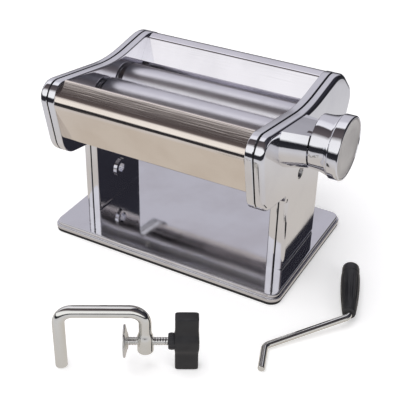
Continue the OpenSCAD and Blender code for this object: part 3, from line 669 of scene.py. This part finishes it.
# metres; sky runs by degrees from the back horizon over the top, room by bearing
studio = {
    "aim": (-0.0297, 0.0, 0.0155), "cameraAt": (0.2914, -0.5495, 0.4272),
    "lens": 79.65, "sensor": 36.0, "shift": 0.08, "floorHalf": 6.0,
    "floorHeight": -0.0002, "lift": 0.35, "tableReach": 1.0,
    # painted table glow on the floor by distance from the middle, then a painted dark room; seen only in
    # reflections and bounced light
    "table": [(0.0, (0.60, 0.555, 0.50)), (0.16, (0.60, 0.56, 0.52)),
              (0.26, (0.66, 0.65, 0.66)), (0.37, (0.60, 0.59, 0.61)),
              (0.42, (0.03, 0.03, 0.035)), (1.0, (0.02, 0.02, 0.025))],
    "room": [(-180, (1, 1, 1)), (2, (1, 1, 1)), (14, (0.05, 0.05, 0.06)),
             (84, (0.06, 0.06, 0.07)), (100, (1, 1, 1))],
    "sky": [(-180, (0.03, 0.03, 0.035)), (-5, (0.2, 0.2, 0.22)), (4, (0.22, 0.21, 0.23)),
            (16, (0.56, 0.55, 0.60)), (54, (0.62, 0.605, 0.66)), (64, (0.86, 0.85, 0.90)),
            (84, (0.95, 0.94, 0.98)), (90, (0.07, 0.06, 0.065)), (122, (0.13, 0.11, 0.115)),
            (137, (0.95, 0.94, 0.95)), (173, (1.0, 1.0, 1.0)), (180, (0.03, 0.03, 0.035))],
}


# Rectangular lamp that lights surfaces but is not mirrored in them.
def addLight(name, place, aim, size, power):
    data = bpy.data.lights.new(name, "AREA")
    data.shape = "RECTANGLE"
    data.size, data.size_y = size
    data.energy = power
    light = bpy.data.objects.new(name, data)
    light.location = place
    direction = Vector(aim) - Vector(place)
    light.rotation_euler = direction.to_track_quat("-Z", "Y").to_euler()
    light.visible_glossy = False
    bpy.context.scene.collection.objects.link(light)


# World colour by the angle between two of the directions' axes, as a ramp of degrees.
def skyColours(tree, stops, across, level):
    way = tree.nodes.new("ShaderNodeTexCoord")
    parts = tree.nodes.new("ShaderNodeSeparateXYZ")
    angle = tree.nodes.new("ShaderNodeMath")
    angle.operation = "ARCTAN2"
    share = tree.nodes.new("ShaderNodeMath")
    share.operation = "MULTIPLY_ADD"
    share.inputs[1].default_value = 0.5 / np.pi
    share.inputs[2].default_value = 0.5
    ramp = tree.nodes.new("ShaderNodeValToRGB")
    fillRamp(ramp.color_ramp, [(degree / 360 + 0.5, colour) for degree, colour in stops])
    tree.links.new(way.outputs["Generated"], parts.inputs[0])
    tree.links.new(parts.outputs[across], angle.inputs[0])
    tree.links.new(parts.outputs[level], angle.inputs[1])
    tree.links.new(angle.outputs[0], share.inputs[0])
    tree.links.new(share.outputs[0], ramp.inputs["Fac"])
    return ramp.outputs["Color"]


# Pale sheet: plain to the eye; to every other ray it glows with a painted lit table and a painted dark
# room beyond, which the metal mirrors and which also lights it.
def paperFinish(s):
    paper = Finish("paper", {"Base Color": (0.9, 0.9, 0.9, 1), "Roughness": 0.9,
                             "Specular IOR Level": 0.1})
    away = paper.node("ShaderNodeVectorMath", {"operation": "LENGTH"}, {0: paper.place}, 1)
    table = paper.node("ShaderNodeValToRGB", {"stops": s["table"]},
                       {"Fac": away * (1 / s["tableReach"])})
    glow = paper.node("ShaderNodeEmission", {}, {"Color": table})
    lift = paper.node("ShaderNodeEmission", {}, {"Color": (1, 1, 1, 1), "Strength": s["lift"]})
    sheet = paper.node("ShaderNodeAddShader", {}, {0: Wire(paper, paper.shader.outputs[0]),
                                                   1: lift})
    seen = paper.node("ShaderNodeLightPath", {}, {})
    both = paper.node("ShaderNodeMixShader", {}, {0: seen, 1: glow, 2: sheet})
    paper.tree.links.new(both.socket, paper.tree.nodes["Material Output"].inputs["Surface"])
    return paper.material


def makeStudio(s):
    half, low = s["floorHalf"], s["floorHeight"]
    mesh = bpy.data.meshes.new("studioFloor")
    mesh.from_pydata([(-half, -half, low), (half, -half, low), (half, half, low),
                      (-half, half, low)], [], [(0, 1, 2, 3)])
    mesh.materials.append(paperFinish(s))
    floor = bpy.data.objects.new("studioFloor", mesh)
    bpy.context.scene.collection.objects.link(floor)

    camera = bpy.data.objects.new("camera", bpy.data.cameras.new("camera"))
    camera.data.lens = s["lens"]
    camera.data.sensor_width = s["sensor"]
    camera.data.shift_x = s["shift"]
    camera.location = s["cameraAt"]
    gaze = Vector(s["aim"]) - Vector(s["cameraAt"])
    camera.rotation_euler = gaze.to_track_quat("-Z", "Y").to_euler()
    bpy.context.scene.collection.objects.link(camera)
    bpy.context.scene.camera = camera

    world = bpy.data.worlds.new("studioWorld")
    bpy.context.scene.world = world
    world.use_nodes = True
    tree = world.node_tree
    tree.nodes.clear()
    reflected = tree.nodes.new("ShaderNodeBackground")
    both = tree.nodes.new("ShaderNodeMixRGB")
    both.blend_type = "MULTIPLY"
    both.inputs["Fac"].default_value = 1.0
    tree.links.new(skyColours(tree, s["sky"], "Z", "Y"), both.inputs["Color1"])
    tree.links.new(skyColours(tree, s["room"], "X", "Y"), both.inputs["Color2"])
    tree.links.new(both.outputs["Color"], reflected.inputs["Color"])
    backdrop = tree.nodes.new("ShaderNodeBackground")
    backdrop.inputs["Color"].default_value = (0.93, 0.93, 0.93, 1)
    seen = tree.nodes.new("ShaderNodeLightPath")
    chosen = tree.nodes.new("ShaderNodeMixShader")
    out = tree.nodes.new("ShaderNodeOutputWorld")
    tree.links.new(seen.outputs["Is Camera Ray"], chosen.inputs[0])
    tree.links.new(reflected.outputs[0], chosen.inputs[1])
    tree.links.new(backdrop.outputs[0], chosen.inputs[2])
    tree.links.new(chosen.outputs[0], out.inputs["Surface"])

    bpy.context.scene.view_settings.view_transform = "Standard"
    addLight("overheadSoftbox", (-0.25, -0.35, 1.7), (0, 0, 0.05), (1.5, 1.2), 16)
    addLight("rightSoftbox", (1.5, -0.5, 1.0), (0, 0, 0.08), (0.9, 0.9), 6)


makeStudio(studio)
print("studio ready")
